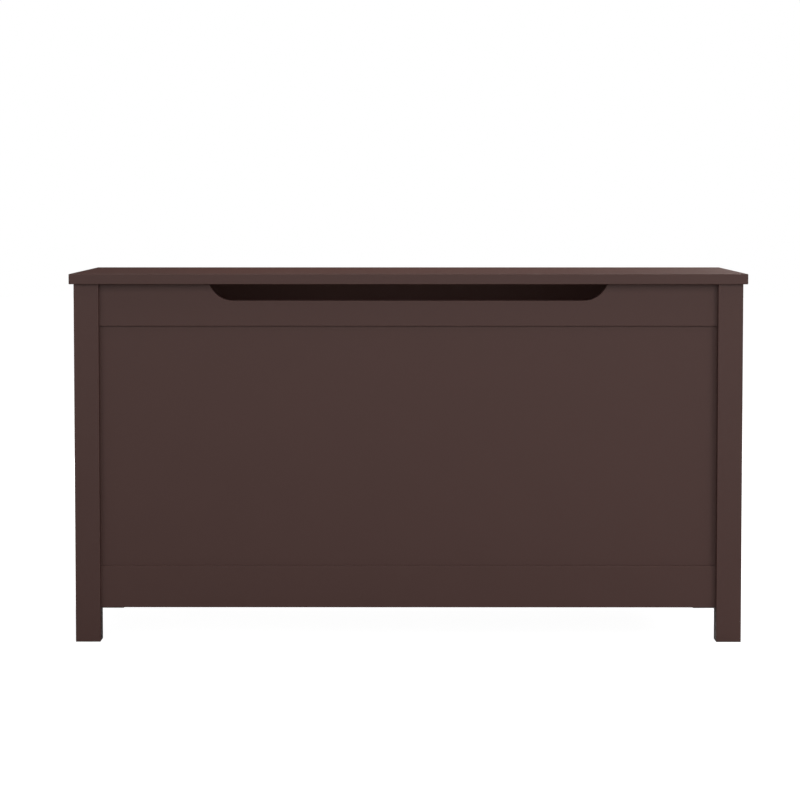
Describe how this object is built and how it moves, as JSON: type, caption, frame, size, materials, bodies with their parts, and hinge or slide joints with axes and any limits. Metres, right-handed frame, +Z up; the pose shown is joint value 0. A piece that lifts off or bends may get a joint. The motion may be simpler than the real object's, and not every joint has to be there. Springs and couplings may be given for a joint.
{
  "type": "toy chest",
  "caption": "Dark painted wooden toy chest and bench on square post legs, with framed panels, a hinged flat lid and a hand cut-out in the front rail.",
  "frame": {"origin": "on the floor, at the middle of the whole outline seen from above, hinge barrels included", "axes": "+X to the right seen from the front, along the chest's length; +Y to the back; +Z up"},
  "size_m": [0.925, 0.4014, 0.505],
  "materials": {
    "frame_paint": "satin dark brown paint on posts, rails and cleats",
    "panel_paint": "satin dark brown paint on thin panels and the floor",
    "lid_paint": "satin dark brown paint on the lid board",
    "hinge_steel": "dark bronze powder coat",
    "pin_steel": "bright turned steel",
    "bush_plastic": "natural off-white bearing plastic",
    "zinc_screws": "bright zinc plate",
    "cam_zinc": "dull die-cast zinc",
    "beech": "bare beech, cut to length"
  },
  "bodies": {
    "box": {"front_left_post": "frame_paint", "front_right_post": "frame_paint", "back_left_post": "frame_paint", "back_right_post": "frame_paint", "front_top_rail": "frame_paint", "front_bottom_rail": "frame_paint", "back_top_rail": "frame_paint", "back_bottom_rail": "frame_paint", "left_top_rail": "frame_paint", "left_bottom_rail": "frame_paint", "right_top_rail": "frame_paint", "right_bottom_rail": "frame_paint", "front_panel": "panel_paint", "back_panel": "panel_paint", "left_panel": "panel_paint", "right_panel": "panel_paint", "floor_panel": "panel_paint", "front_floor_cleat": "frame_paint", "back_floor_cleat": "frame_paint", "left_floor_cleat": "frame_paint", "right_floor_cleat": "frame_paint", "left_hinge_body_leaf": "hinge_steel", "left_hinge_friction_bush": "bush_plastic", "left_hinge_body_screws": "zinc_screws", "right_hinge_body_leaf": "hinge_steel", "right_hinge_friction_bush": "bush_plastic", "right_hinge_body_screws": "zinc_screws", "rail_dowels": "beech", "cam_bolts": "zinc_screws", "cam_discs": "cam_zinc", "cleat_screws": "zinc_screws", "floor_screws": "zinc_screws"},
    "lid": {"lid_panel": "lid_paint", "left_hinge_lid_leaf": "hinge_steel", "left_hinge_pin": "pin_steel", "left_hinge_lid_screws": "zinc_screws", "right_hinge_lid_leaf": "hinge_steel", "right_hinge_pin": "pin_steel", "right_hinge_lid_screws": "zinc_screws"}
  },
  "joints": [
    {"name": "lid_hinge", "type": "hinge", "parent": "box", "child": "lid", "pos_m": [0, 0.19425, 0.4845], "axis": [-1, 0, 0], "range_deg": [0, 95]}
  ]
}
